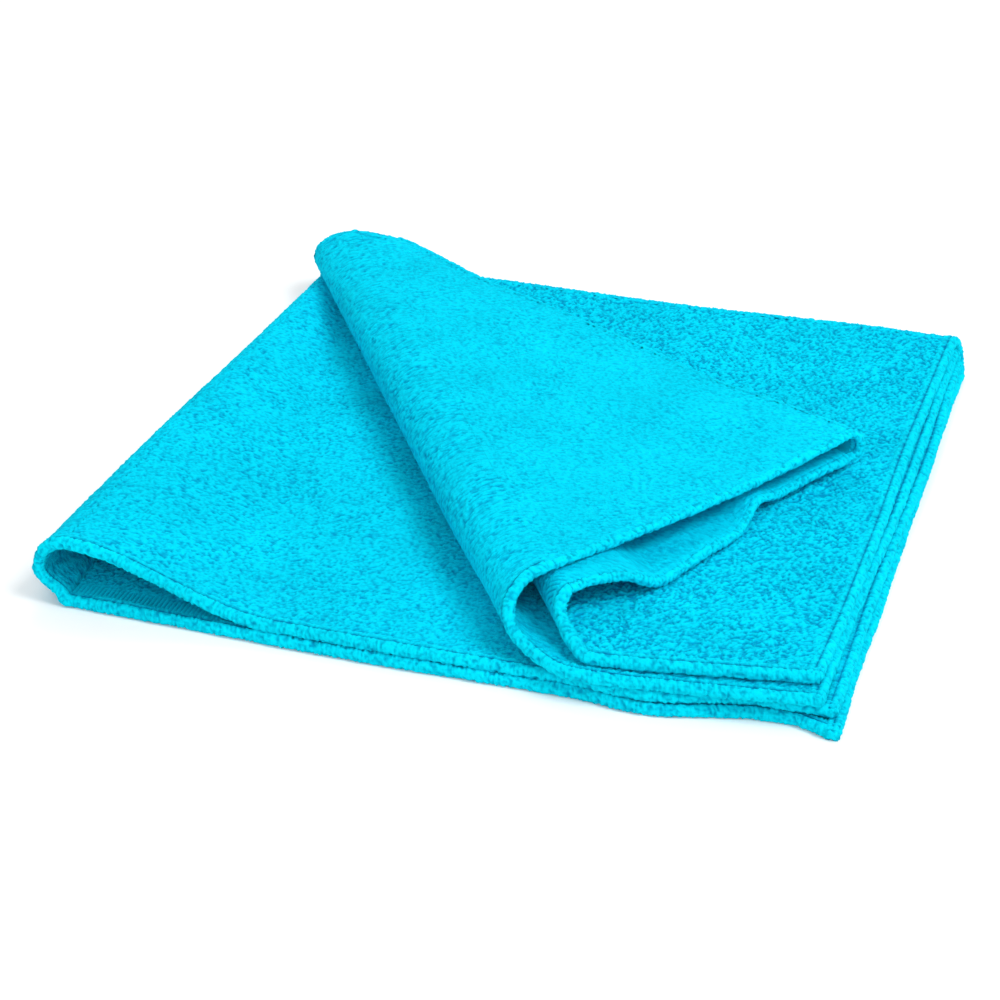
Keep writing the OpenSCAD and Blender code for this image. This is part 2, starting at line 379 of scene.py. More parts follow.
def nested_fold(turn, x_low, x_high, y_reach, z_low, z_high):
    x = mix(x_low, x_high, turn / math.pi)
    z = mix(z_low, z_high, (1 - np.cos(turn)) / 2)
    return stack(x, FOLD_Y + y_reach * np.sin(turn), z)


def pull_back(along, amount):
    """Draws the front end of the turned cloth back along the crease."""
    return along - amount * np.clip((along - 150 * MM) / (90 * MM), 0, 1) ** 2


def droop(along):
    """How much lower the turned corner lies towards the back."""
    return 1.4 * MM * (1 - ramp(along, 15 * MM, 70 * MM))


def outer_roll_surface(turn, along):
    fat = OUTER_FAT * (1 - 0.2 * ramp(along, 185 * MM, 50 * MM))
    back = 9 * MM * ease(turn / 1.4) + 2 * MM * ramp(turn, 1.6, 1.5)
    across = OUTER_A - (OUTER_R + fat) * np.sin(turn)
    z = OUTER_Z - OUTER_R * np.cos(turn) - droop(along) * (1 - np.cos(turn)) / 2
    return crease_point(pull_back(along, back), across, z)


def inner_roll_surface(turn, along):
    back = 10 * MM * ramp(turn, 0.4, 1.4)
    across = INNER_A - INNER_R * np.sin(turn)
    return crease_point(pull_back(along, back), across, INNER_MID_Z - INNER_TALL * np.cos(turn))


def edge_line(along):
    """The straight line from the start of the flap's folded edge to its tip."""
    return mix(EDGE_START_A, TIP_ACROSS, (along - ROLL_START) / (TIP_ALONG - ROLL_START))


def edge_a(along):
    """How far from the crease the folded edge of the flap really runs."""
    bulk = 5.2 * MM * (1 - ramp(along, ROLL_START, 45 * MM))
    hollow = 3 * MM * hill(along, 138 * MM, 20 * MM)
    return edge_line(along) + bulk - hollow


def tip_lift(along):
    """How much the folded edge rises towards the tip of the flap."""
    return 1.5 * MM * ramp(along, 110 * MM, 60 * MM)


def flap_upper_surface(along, across):
    v = np.clip((across - OUTER_A) / (edge_line(along) - OUTER_A), 0, 1)
    swelling = 0.9 * MM * np.sin(math.pi * v) * np.sin(along / (38 * MM))
    z = mix(OUTER_Z + OUTER_R, EDGE_UPPER_Z + tip_lift(along), v) + swelling - droop(along)
    across = mix(OUTER_A, edge_a(along), v)
    return crease_point(pull_back(along, mix(11 * MM, 3 * MM, v)), across, z)


def flap_lower_surface(along, across):
    """Comes off the inner roll, sags on to the top ply and puckers near the front."""
    v = np.clip((across - INNER_A) / (edge_line(along) - INNER_A), 0, 1)
    near_front = ramp(along, 60 * MM, 110 * MM)
    fall = ramp(v, 0.1, mix(0.5, 0.13, near_front))
    pucker = 1.6 * MM * near_front * hill(v, 0.58, 0.05)
    pucker += 0.5 * MM * near_front * hill(v, 0.36, 0.04)
    lift = tip_lift(along) * ramp(v, FLAP_STEP, 0.1)
    z = mix(INNER_MID_Z + INNER_TALL, EDGE_LOWER_Z, fall) + pucker + lift
    across = mix(INNER_A, edge_a(along), v)
    at_roll = 1 - ease(v / 0.2)
    past_step = ramp(v, FLAP_STEP, 0.12) * (1 - ramp(v, 0.8, 0.2))
    back = 10 * MM * at_roll + 12 * MM * past_step
    return crease_point(pull_back(along, back), across, z)


def edge_fold_surface(turn, along):
    mid_z = (EDGE_UPPER_Z + EDGE_LOWER_Z) / 2 + tip_lift(along)
    across = edge_a(along) + EDGE_R * np.sin(turn)
    back = 3 * MM * (1 - turn / math.pi)
    z = mid_z + EDGE_R * np.cos(turn) - droop(along) * (1 + np.cos(turn)) / 2
    return crease_point(pull_back(along, back), across, z)


def roll_end_surface(round_way, out):
    """The bunched end of the roll at the back corner; out is 0 at its tip."""
    to_edge = edge_a(ROLL_START) + EDGE_R - OUTER_A
    wide = np.where(round_way < math.pi, OUTER_R + OUTER_FAT, to_edge)
    across = OUTER_A - wide * np.sin(out) * np.sin(round_way)
    sink = droop(ROLL_START) * (1 - np.cos(round_way)) / 2
    z = OUTER_Z - OUTER_R * np.sin(out) * np.cos(round_way) - sink
    start = mix(ROLL_BACK, ROLL_START, ease(0.5 - 0.5 * np.sin(round_way)))
    under_flap = ramp(round_way, 2.2, 0.7) * (1 - ramp(round_way, 5.4, 0.8))
    start = start + 3 * MM * under_flap * ramp(out, 1.1, 0.47)
    return crease_point(start - 6 * MM * np.cos(out), across, z)


def back_corner_surface(turn, heading):
    """The cloth going round the back left corner, from the left fold to the back fold."""
    share = heading / (math.pi / 2)
    reach = mix(loop_r(FOLD_Y), OUTER_FOLD_REACH, share)
    top_z = mix(HALF + 2 * loop_r(FOLD_Y), PLY_Z[3], share)
    x = loop_edge(FOLD_Y) - reach * np.sin(turn) * np.cos(heading)
    y = FOLD_Y + reach * np.sin(turn) * np.sin(heading)
    return stack(x, y, mix(PLY_Z[0], top_z, (1 - np.cos(turn)) / 2))


# ---------------------------------------------------------------- mesh making


def unit_grid(na, nb, a_range=(0, 1), b_range=(0, 1)):
    bm = bmesh.new()
    bmesh.ops.create_grid(bm, x_segments=na, y_segments=nb, size=0.5)
    bmesh.ops.scale(bm, vec=(a_range[1] - a_range[0], b_range[1] - b_range[0], 1), verts=bm.verts)
    middle = ((a_range[0] + a_range[1]) / 2, (b_range[0] + b_range[1]) / 2, 0)
    bmesh.ops.translate(bm, vec=middle, verts=bm.verts)
    return bm


def plan_grid(a_range, b_range, step, cuts=()):
    """A grid of squares between two ranges, keeping what lies left of each cut."""
    na = max(1, round((a_range[1] - a_range[0]) / step))
    nb = max(1, round((b_range[1] - b_range[0]) / step))
    bm = unit_grid(na, nb, a_range, b_range)
    for p, q in cuts:
        bmesh.ops.bisect_plane(
            bm,
            geom=bm.verts[:] + bm.edges[:] + bm.faces[:],
            dist=1e-6,
            plane_co=(p[0], p[1], 0),
            plane_no=(q[1] - p[1], p[0] - q[0], 0),
            clear_outer=True,
        )
    return bm


def crease_cut(across, keep_right):
    p = crease_point(0.0, across, 0.0)
    q = crease_point(0.1, across, 0.0)
    return (p, q) if keep_right else (q, p)


def to_mesh(name, bm):
    mesh = bpy.data.meshes.new(name)
    bm.to_mesh(mesh)
    bm.free()
    return mesh


def read_points(mesh):
    co = np.zeros(len(mesh.vertices) * 3, np.float32)
    mesh.vertices.foreach_get("co", co)
    return co.reshape(-1, 3).astype(float)


def write_points(mesh, points):
    mesh.vertices.foreach_set("co", points.astype(np.float32).ravel())
    mesh.update()


def add_object(name, mesh, material):
    obj = bpy.data.objects.new(name, mesh)
    bpy.context.scene.collection.objects.link(obj)
    mesh.materials.append(material)
    mesh.shade_smooth()
    return obj


def outward(surface, a, b):
    step_a = 0.01 if np.ptp(a) > 0.5 else 0.05 * MM
    step_b = 0.01 if np.ptp(b) > 0.5 else 0.05 * MM
    da = surface(a + step_a, b) - surface(a - step_a, b)
    db = surface(a, b + step_b) - surface(a, b - step_b)
    return unit(np.cross(da, db))


# ---------------------------------------------------------------- materials


def new_group(name, inputs, outputs):
    group = bpy.data.node_groups.new(name, "ShaderNodeTree")
    for label, kind, value in inputs:
        group.interface.new_socket(label, in_out="INPUT", socket_type=kind).default_value = value
    for label, kind in outputs:
        group.interface.new_socket(label, in_out="OUTPUT", socket_type=kind)
    return group, group.nodes.new("NodeGroupInput"), group.nodes.new("NodeGroupOutput")


def microfibre_group():
    """Colour and fine relief of microfibre: crowns, gaps darkened with painted shade, loose fibres,
    slow change.
    """
    group, given, made = new_group(
        "microfibre",
        [
            ("Crown", "NodeSocketColor", (0, 0.6, 0.85, 1)),
            ("Gap", "NodeSocketColor", (0, 0.2, 0.4, 1)),
            ("Pile", "NodeSocketFloat", 1.0),
            ("Fibre Scale", "NodeSocketFloat", 2600.0),
        ],
        [("Color", "NodeSocketColor"), ("Height", "NodeSocketFloat")],
    )
    nodes, links = group.nodes, group.links
    where = nodes.new("ShaderNodeTexCoord")
    fibres = nodes.new("ShaderNodeTexNoise")
    fibres.inputs["Detail"].default_value = 4
    fibres.inputs["Roughness"].default_value = 0.65
    links.new(where.outputs["Object"], fibres.inputs["Vector"])
    links.new(given.outputs["Fibre Scale"], fibres.inputs["Scale"])
    patches = nodes.new("ShaderNodeTexNoise")
    patches.inputs["Scale"].default_value = 45
    patches.inputs["Detail"].default_value = 3
    links.new(where.outputs["Object"], patches.inputs["Vector"])
    spread = nodes.new("ShaderNodeMath")
    spread.operation = "MULTIPLY_ADD"
    spread.inputs[1].default_value = 0.4
    spread.inputs[2].default_value = -0.2
    links.new(fibres.outputs["Fac"], spread.inputs[0])
    lifted = nodes.new("ShaderNodeMath")
    lifted.operation = "ADD"
    lifted.use_clamp = True
    links.new(given.outputs["Pile"], lifted.inputs[0])
    links.new(spread.outputs["Value"], lifted.inputs[1])
    # the Pile value mixes from the Gap colour, painted shade of the hollows between loops, to the
    # Crown colour
    tone = nodes.new("ShaderNodeMix")
    tone.data_type = "RGBA"
    links.new(lifted.outputs["Value"], tone.inputs["Factor"])
    links.new(given.outputs["Gap"], tone.inputs["A"])
    links.new(given.outputs["Crown"], tone.inputs["B"])
    shade = nodes.new("ShaderNodeMapRange")
    shade.inputs["From Min"].default_value = 0.3
    shade.inputs["From Max"].default_value = 0.7
    shade.inputs["To Min"].default_value = 0.92
    shade.inputs["To Max"].default_value = 1.05
    links.new(patches.outputs["Fac"], shade.inputs["Value"])
    scaled = nodes.new("ShaderNodeVectorMath")
    scaled.operation = "SCALE"
    links.new(tone.outputs["Result"], scaled.inputs[0])
    links.new(shade.outputs["Result"], scaled.inputs["Scale"])
    links.new(scaled.outputs["Vector"], made.inputs["Color"])
    links.new(fibres.outputs["Fac"], made.inputs["Height"])
    return group


MICROFIBRE = microfibre_group()


def cloth_material(name, crown, gap, fibre_scale, bump, has_pile):
    material = bpy.data.materials.new(name)
    material.use_nodes = True
    nodes, links = material.node_tree.nodes, material.node_tree.links
    shader = nodes["Principled BSDF"]
    shader.inputs["Roughness"].default_value = 0.95
    shader.inputs["Specular IOR Level"].default_value = 0.03
    shader.inputs["Sheen Weight"].default_value = 0.12
    shader.inputs["Sheen Roughness"].default_value = 0.5
    shader.inputs["Sheen Tint"].default_value = (0.0, 0.8, 1.0, 1)
    fibre = nodes.new("ShaderNodeGroup")
    fibre.node_tree = MICROFIBRE
    fibre.inputs["Crown"].default_value = (*crown, 1)
    fibre.inputs["Gap"].default_value = (*gap, 1)
    fibre.inputs["Fibre Scale"].default_value = fibre_scale
    if has_pile:
        pile = nodes.new("ShaderNodeAttribute")
        pile.attribute_name = "pile"
        links.new(pile.outputs["Fac"], fibre.inputs["Pile"])
    relief = nodes.new("ShaderNodeBump")
    relief.inputs["Strength"].default_value = bump
    relief.inputs["Distance"].default_value = FIBRE_TALL
    links.new(fibre.outputs["Height"], relief.inputs["Height"])
    links.new(fibre.outputs["Color"], shader.inputs["Base Color"])
    links.new(relief.outputs["Normal"], shader.inputs["Normal"])
    return material


# the gap colours of the terry and the overlock are painted shade for the hollows between pile loops
# and tufts
TERRY = cloth_material(
    "cyan_terry", crown=(0.0, 0.77, 1.0), gap=(0.0, 0.09, 0.4),
    fibre_scale=1700, bump=1.0, has_pile=True,
)
KNIT = cloth_material(
    "cyan_ground_knit", crown=(0.0, 0.45, 0.62), gap=(0.0, 0.2, 0.36),
    fibre_scale=1800, bump=0.6, has_pile=False,
)
OVERLOCK = cloth_material(
    "cyan_overlock", crown=(0.0, 0.8, 1.0), gap=(0.0, 0.16, 0.42),
    fibre_scale=2000, bump=0.9, has_pile=True,
)
NEEDLE = cloth_material(
    "needle_thread", crown=(0.0, 0.2, 0.38), gap=(0.0, 0.1, 0.2),
    fibre_scale=4000, bump=0.3, has_pile=False,
)

# ---------------------------------------------------------------- makers of cloth parts


def knit_piece(name, patches):
    """Joins patches of ground knit along their shared edges and gives them thickness."""
    bm = bmesh.new()
    for grid, surface in patches:
        mesh = to_mesh("knit_patch", grid)
        co = read_points(mesh)
        write_points(mesh, surface(co[:, 0], co[:, 1]))
        bm.from_mesh(mesh)
        bpy.data.meshes.remove(mesh)
    bmesh.ops.remove_doubles(bm, verts=bm.verts, dist=SAME_PLACE)
    bmesh.ops.recalc_face_normals(bm, faces=bm.faces)
    obj = add_object(name, to_mesh(name, bm), KNIT)
    wall = obj.modifiers.new("thickness", "SOLIDIFY")
    wall.thickness = KNIT_WALL
    wall.offset = 0
    return obj


def pile_skin(name, grid, surface, side, laid, seed, edge_gap, rough=1.0, ribs=0.0):
    """Terry pile on one side of a ply. side is 1 on the side the surface's own
    normal points to, else -1. laid gives the place on the laid-out cloth,
    edge_gap the distance to the nearest hemmed edge, rough how ruffled the pile
    is and ribs how much the threads of the edge show through it."""
    mesh = to_mesh(name, grid)
    co = read_points(mesh)
    a, b = co[:, 0], co[:, 1]
    s, t = laid(a, b)
    gap = edge_gap(a, b)
    height = pile_height(s, t, seed)
    rib = np.abs(np.sin(math.pi * (s * ACROSS[0] + t * ALONG[0]) / STITCH_PITCH))
    height = mix(height, rib, ribs * ease((RIB_REACH - gap) / RIB_FADE))
    ruffled = rough * (0.6 + 0.4 * swell(s, t, 8 * MM, seed + 7))
    lift = PILE_BASE + PILE_DEPTH * mix(SMOOTH_HEIGHT, height, ruffled)
    lift = lift * ramp(gap, BARE_EDGE, EDGE_FADE)
    points = surface(a, b) + outward(surface, a, b) * (side * lift)[:, None]
    points[:, 2] = np.maximum(points[:, 2], FLOOR_CLEAR)
    write_points(mesh, points)
    pile = mesh.attributes.new("pile", "FLOAT", "POINT")
    # the pile attribute is painted shade: low in the hollows between loops and along rib grooves,
    # so the colour darkens there
    tone = mix(SMOOTH_TONE, np.clip(1.7 * height - 0.18, 0, 1), ruffled)
    pile.data.foreach_set("value", tone.astype(np.float32))
    if side < 0:
        mesh.flip_normals()
    return add_object(name, mesh, TERRY)


def curve_length(points):
    return np.concatenate([[0], np.cumsum(np.linalg.norm(np.diff(points, axis=0), axis=1))])


def resample(points, length, where):
    return np.stack([np.interp(where, length, points[:, k]) for k in range(3)], axis=-1)


def rim_frame(rim, inner, step):
    """Even points along a cut edge, with the directions into the ply and out of its face."""
    length = curve_length(rim)
    where = np.linspace(0, length[-1], max(8, round(length[-1] / step)))
    edge = resample(rim, length, where)
    run = unit(np.gradient(edge, axis=0))
    inward = resample(inner, length, where) - edge
    inward = unit(inward - run * (inward * run).sum(axis=1, keepdims=True))
    return where, edge, inward, np.cross(run, inward)


def tube_mesh(name, rows, columns, points):
    """A tube of rows by columns points, joined round each row and closed at its ends."""
    bm = bmesh.new()
    verts = [bm.verts.new(p) for p in points.reshape(-1, 3)]
    for i in range(rows - 1):
        for j in range(columns):
            k = (j + 1) % columns
            bm.faces.new((
                verts[i * columns + j], verts[i * columns + k],
                verts[(i + 1) * columns + k], verts[(i + 1) * columns + j],
            ))
    bm.faces.new(verts[:columns])
    bm.faces.new(verts[-columns:])
    bmesh.ops.recalc_face_normals(bm, faces=bm.faces)
    return to_mesh(name, bm)


def hem_band(name, rim, inner, thick, seed):
    """An overlocked edge: thread and tufts over it, with a groove where the needle runs."""
    where, edge, inward, face = rim_frame(rim, inner, STITCH_PITCH / 4)
    columns = 28
    slant = 0.25
    tuft_tall, wrap_tall, slow_tall = 0.6 * MM, 0.15 * MM, 0.2 * MM
    groove_wide, groove_deep = 0.3 * MM, 0.9
    round_way = np.linspace(0, math.tau, columns, endpoint=False)
    c, s = np.cos(round_way), np.sin(round_way)
    wide = HEM_WIDE / 2 * np.sign(c) * np.abs(c) ** 0.9
    tall = thick / 2 * np.sign(s) * np.abs(s) ** 0.8
    place = where[:, None] + slant * wide[None, :]
    way = round_way[None, :] * (HEM_WIDE + thick) / 4
    wrap = np.abs(np.sin(math.pi * place / STITCH_PITCH)) ** 0.7
    tuft = pile_height(place, way + 0 * place, seed)
    slow = swell(where, 0 * where, 5 * MM, seed + 2)[:, None]
    groove = hill(wide + HEM_WIDE / 2, NEEDLE_INSET, groove_wide)[None, :]
    grow = (tuft_tall * tuft + wrap_tall * wrap + slow_tall * slow) * (1 - groove_deep * groove)
    points = (
        edge[:, None, :]
        + inward[:, None, :] * (HEM_WIDE / 2 + wide + c * grow)[..., None]
        + face[:, None, :] * (tall + s * grow)[..., None]
    )
    points[..., 2] = np.maximum(points[..., 2], FLOOR_CLEAR)
    mesh = tube_mesh(name, len(where), columns, points)
    pile = mesh.attributes.new("pile", "FLOAT", "POINT")
    # painted shade: the colour darkens in the hollows between tufts and thread wraps and along the
    # needle groove
    tone = np.clip(0.15 + 1.1 * tuft + 0.15 * wrap - 0.7 * groove, 0, 1)
    pile.data.foreach_set("value", tone.astype(np.float32).ravel())
    return add_object(name, mesh, OVERLOCK)


def needle_line(name, rim, inner, thick):
    """Dashes of needle thread on both faces of a hem."""
    where, edge, inward, face = rim_frame(rim, inner, DASH_STEP)
    bm = bmesh.new()
    per_stitch = len(DASH_RADII)
    for side in (-1, 1):
        line = edge + inward * NEEDLE_INSET + face * (side * (thick / 2 + 0.1 * MM))
        line[:, 2] = np.maximum(line[:, 2], 0.2 * MM)
        for start in range(0, len(where) - per_stitch, per_stitch):
            rows = []
            for step, size in enumerate(DASH_RADII):
                i = start + step
                ring = []
                for turn in np.arange(DASH_SIDES) * math.tau / DASH_SIDES:
                    out_way = inward[i] * math.cos(turn) + face[i] * math.sin(turn)
                    ring.append(bm.verts.new(line[i] + out_way * size))
                rows.append(ring)
            for low, high in zip(rows, rows[1:]):
                for j in range(DASH_SIDES):
                    k = (j + 1) % DASH_SIDES
                    bm.faces.new((low[j], low[k], high[k], high[j]))
            bm.faces.new(rows[0])
            bm.faces.new(rows[-1])
    bmesh.ops.recalc_face_normals(bm, faces=bm.faces)
    return add_object(name, to_mesh(name, bm), NEEDLE)


# ---------------------------------------------------------------- ground knit

pieces = {"folded_base": [], "corner_flap": [], "outer": [], "inner": []}
ROWS = 110
PLY_COLUMNS = 80
FLAP_COLUMNS = 50


def from_loop(surface):
    return lambda u, y: surface(mix(loop_edge(y), RIGHT, u), y)


def from_crease(surface, across):
    return lambda u, y: surface(mix(crease_x(across, y), RIGHT, u), y)


def back_fold_between(low, low_start, high, high_start, reach):
    def surface(turn, u):
        x_low = low(mix(low_start, RIGHT, u), FOLD_Y)[..., 0]
        x_high = high(mix(high_start, RIGHT, u), FOLD_Y)[..., 0]
        rise = high(mix(high_start, RIGHT, u), FOLD_Y)[..., 2]
        base = low(mix(low_start, RIGHT, u), FOLD_Y)[..., 2]
        return nested_fold(turn, x_low, x_high, reach, base, rise)
    return surface


def ply_y(level):
    return FRONT + FRONT_INSET[level], FOLD_Y


back_left = loop_edge(FOLD_Y)
outer_back_fold = back_fold_between(
    first_surface, back_left, top_surface, back_left, OUTER_FOLD_REACH
)
inner_back_fold = back_fold_between(
    second_surface, back_left, third_surface, crease_x(OUTER_A, FOLD_Y), HALF
)
ground = knit_piece("ground_knit", [
    (unit_grid(PLY_COLUMNS, ROWS, (0, 1), ply_y(0)), from_loop(first_surface)),
    (unit_grid(14, ROWS, (0, math.pi), ply_y(0)), loop_place),
    (unit_grid(PLY_COLUMNS, ROWS, (0, 1), ply_y(1)), from_loop(second_surface)),
    (unit_grid(8, PLY_COLUMNS, (0, math.pi)), inner_back_fold),
    (unit_grid(PLY_COLUMNS, ROWS, (0, 1), ply_y(2)), from_crease(third_surface, OUTER_A)),
    (unit_grid(12, PLY_COLUMNS, (0, math.pi)), outer_back_fold),
    (unit_grid(PLY_COLUMNS, ROWS, (0, 1), ply_y(3)), from_crease(top_surface, INNER_A)),
    (unit_grid(12, 10, (0, math.pi), (0, math.pi / 2)), back_corner_surface),
])
pieces["folded_base"].append(ground)


def roll_place(surface, radius, axis_a, inset):
    """Maps turn and a share of the length to the roll; its front follows the cut edge."""

    def placed(turn, u):
        return surface(turn, mix(ROLL_BACK, front_along(axis_a - radius * turn, inset), u))

    return placed


def flap_place(surface, radius, axis_a, inset):
    root = front_along(axis_a - math.pi * radius, inset)

    def placed(v, u):
        edge_along = mix(ROLL_START, TIP_ALONG, u)
        along = mix(mix(ROLL_BACK, root, u), edge_along, v)
        return surface(along, mix(axis_a, edge_line(edge_along), v))

    return placed


outer = (outer_roll_surface, OUTER_R, OUTER_A, FRONT_INSET[2])
inner = (inner_roll_surface, INNER_R, INNER_A, FRONT_INSET[3])
flap_upper = (flap_upper_surface, OUTER_R, OUTER_A, FRONT_INSET[2])
flap_lower = (flap_lower_surface, INNER_R, INNER_A, FRONT_INSET[3])
half_turn = (0, math.pi)
pieces["outer"].append(
    knit_piece("ground_knit_outer_roll", [
        (unit_grid(20, ROWS, half_turn), roll_place(*outer)),
        (unit_grid(48, 12, (0, math.tau), (BACK_HOLLOW, math.pi / 2)), roll_end_surface),
    ])
)
pieces["inner"].append(
    knit_piece("ground_knit_inner_roll", [(unit_grid(14, ROWS, half_turn), roll_place(*inner))])
)
pieces["corner_flap"].append(knit_piece("ground_knit_flap", [
    (unit_grid(FLAP_COLUMNS, ROWS), flap_place(*flap_upper)),
    (unit_grid(10, ROWS, half_turn, (ROLL_START, TIP_ALONG)), edge_fold_surface),
    (unit_grid(FLAP_COLUMNS, ROWS), flap_place(*flap_lower)),
]))

# ---------------------------------------------------------------- terry pile

FINE = 0.38 * MM
MIDDLE = 0.68 * MM
COARSE = 1.0 * MM
PANEL_ROUGH = 0.85


def gap_on(level):
    return lambda a, b: np.minimum(b - FRONT - FRONT_INSET[level], RIGHT - a)


def far_from_hems(a, b):
    return np.full_like(a, WIDTH)


def add_pile(body, *given, **looks):
    pieces[body].append(pile_skin(*given, **looks))


loop_cut = (
    (loop_edge(FOLD_Y), FOLD_Y),
    (loop_edge(FRONT + FRONT_INSET[0]), FRONT + FRONT_INSET[0]),
)
for part, (near, far) in enumerate(((0, 0.28), (0.28, 0.6), (0.6, 1))):
    front_y, back_y = ply_y(3)
    add_pile(
        "folded_base", f"terry_top_{part + 1}",
        plan_grid(
            (LEFT, RIGHT), (mix(front_y, back_y, near), mix(front_y, back_y, far)), FINE,
            [crease_cut(INNER_A, True)],
        ),
        top_surface, 1, crease_frame, TOP_FACE, gap_on(3), rough=1.4,
    )
for part, (near, far) in enumerate(((0, 0.34), (0.34, 1))):
    front_y, back_y = ply_y(1)
    add_pile(
        "folded_base", f"terry_left_panel_{part + 1}",
        plan_grid(
            (LOOP_SIDE, CREASE_FRONT_X + 12 * MM),
            (mix(front_y, back_y, near), mix(front_y, back_y, far)), FINE,
            [crease_cut(HALF + 7 * MM, False), loop_cut],
        ),
        second_surface, 1, crease_frame, PANEL_FACE, gap_on(1), rough=PANEL_ROUGH,
    )


def beside_loop(turn, y):
    return crease_frame(loop_edge(y) - loop_r(FRONT) * (math.pi - turn), y)


def front_gap_loop(a, b):
    return b - FRONT - FRONT_INSET[0]


add_pile(
    "folded_base", "terry_left_fold",
    unit_grid(60, 540, half_turn, ply_y(0)), loop_place, 1, beside_loop,
    PANEL_FACE, front_gap_loop, rough=PANEL_ROUGH,
)
add_pile(
    "folded_base", "terry_back_fold",
    unit_grid(40, 500, (-0.12, math.pi + 0.12)), outer_back_fold, 1,
    lambda turn, u: (turn * 5 * MM, u * WIDTH), BACK_FACE, lambda turn, u: (1 - u) * WIDTH,
)
add_pile(
    "folded_base", "terry_back_corner", unit_grid(38, 24, half_turn, (-0.12, math.pi / 2 + 0.15)),
    back_corner_surface, 1, lambda turn, heading: (turn * 5 * MM, heading * 5 * MM),
    BACK_CORNER_FACE, far_from_hems,
)
add_pile(
    "folded_base", "terry_bottom", plan_grid((LOOP_SIDE, RIGHT), ply_y(0), COARSE, [loop_cut]),
    first_surface, -1, crease_frame, BOTTOM_FACE, gap_on(0),
)

# linings of the openings that show from the front
pocket_x = (LOOP_SIDE, LEFT + 74 * MM)
pocket_y = (FRONT + FRONT_INSET[0], FRONT + 60 * MM)
add_pile(
    "folded_base", "terry_pocket_floor", plan_grid(pocket_x, pocket_y, FINE, [loop_cut]),
    first_surface, 1, crease_frame, POCKET_FACE, gap_on(0), ribs=0.8,
)
add_pile(
    "folded_base", "terry_pocket_roof",
    plan_grid(pocket_x, (FRONT + FRONT_INSET[1], pocket_y[1]), MIDDLE, [loop_cut]),
    second_surface, -1, crease_frame, POCKET_ROOF_FACE, gap_on(1),
)
add_pile(
    "folded_base", "terry_pocket_side", unit_grid(36, 100, half_turn, pocket_y),
    loop_place, -1, beside_loop, POCKET_FACE, front_gap_loop,
)
add_pile(
    "folded_base", "terry_under_top",
    plan_grid(
        (LEFT + 60 * MM, RIGHT), (ply_y(2)[0], FRONT + 45 * MM), MIDDLE, [crease_cut(OUTER_A, True)]
    ),
    third_surface, 1, crease_frame, THIRD_FACE, gap_on(2),
)


ROLL_LONG = 240 * MM


def roll_pile(body, name, given, side, seed, step, ribs=0.0):
    radius, axis_a, inset = given[1:]

    def laid(turn, u):
        lay = axis_a - radius * turn
        return lay, mix(ROLL_BACK, front_along(lay, inset), u)

    def gap(turn, u):
        lay, along = laid(turn, u)
        return front_gap(along, lay, inset)

    half_round = math.pi * (radius + 2 * MM)
    grid = unit_grid(round(half_round / step), round(ROLL_LONG / step), half_turn)
    add_pile(body, name, grid, roll_place(*given), side, laid, seed, gap, rough=0.75, ribs=ribs)


def flap_pile(name, given, side, seed, step):
    surface, radius, axis_a, inset = given
    root = front_along(axis_a - math.pi * radius, inset)
    tip = (TIP_ALONG, TIP_ACROSS)
    grid = plan_grid(
        (ROLL_START, root), (axis_a, TIP_ACROSS), step,
        [(tip, (ROLL_START, EDGE_START_A)), ((root, axis_a), tip)],
    )
    run = unit(np.array([TIP_ALONG - root, TIP_ACROSS - axis_a]))

    def laid(along, across):
        return 2 * axis_a - math.pi * radius - across, along

    def gap(along, across):
        return np.abs((across - axis_a) * run[0] - (along - root) * run[1]) + 1 * MM

    add_pile("corner_flap", name, grid, surface, side, laid, seed, gap, rough=0.6)


roll_pile("outer", "terry_outer_roll", outer, -1, THIRD_UNDERSIDE, FINE)
roll_pile("outer", "terry_outer_roll_inside", outer, 1, THIRD_FACE, MIDDLE)
roll_pile("inner", "terry_inner_roll", inner, -1, TOP_UNDERSIDE, FINE, ribs=0.9)
roll_pile("inner", "terry_inner_roll_inside", inner, 1, TOP_FACE, MIDDLE)
add_pile(
    "outer", "terry_roll_end", unit_grid(170, 60, (0, math.tau), (BACK_HOLLOW, math.pi / 2)),
    roll_end_surface, -1, lambda a, b: (a * 9 * MM, b * 9 * MM), ROLL_END_FACE, far_from_hems,
)
flap_pile("terry_flap_top", flap_upper, 1, THIRD_UNDERSIDE, FINE)
flap_pile("terry_flap_top_inside", flap_upper, -1, THIRD_FACE, MIDDLE)
flap_pile("terry_flap_lower_inside", flap_lower, 1, TOP_UNDERSIDE, MIDDLE)
flap_pile("terry_flap_underside", flap_lower, -1, TOP_FACE, MIDDLE)
add_pile(
    "corner_flap", "terry_flap_edge", unit_grid(26, 440, half_turn, (ROLL_START, TIP_ALONG)),
    edge_fold_surface, -1, lambda a, b: (a * EDGE_R, b),
    THIRD_UNDERSIDE, lambda a, b: TIP_ALONG - b,
)

# ---------------------------------------------------------------- hems and their needle thread

EDGE_POINTS = 300
BEND_POINTS = 80

def share(count):
    return np.linspace(0, 1, count)


def front_rim(surface, level, start, end):
    x = mix(start, end, share(EDGE_POINTS))
    y = FRONT + FRONT_INSET[level]
    return surface(x, y), surface(x, y + RIM_STEP)


def right_rim(surface, level):
    y = mix(*ply_y(level), share(EDGE_POINTS))
    return surface(RIGHT, y), surface(RIGHT - RIM_STEP, y)


def loop_rim():
    turn = mix(math.pi, 0, share(BEND_POINTS))
    y = mix(FRONT + FRONT_INSET[1], FRONT + FRONT_INSET[0], share(BEND_POINTS))
    return loop_surface(turn, y), loop_surface(turn, y + RIM_STEP)


def fold_rim(surface):
    turn = mix(0, math.pi, share(40))
    return surface(turn, 1.0), surface(turn, 1 - RIM_STEP / WIDTH)


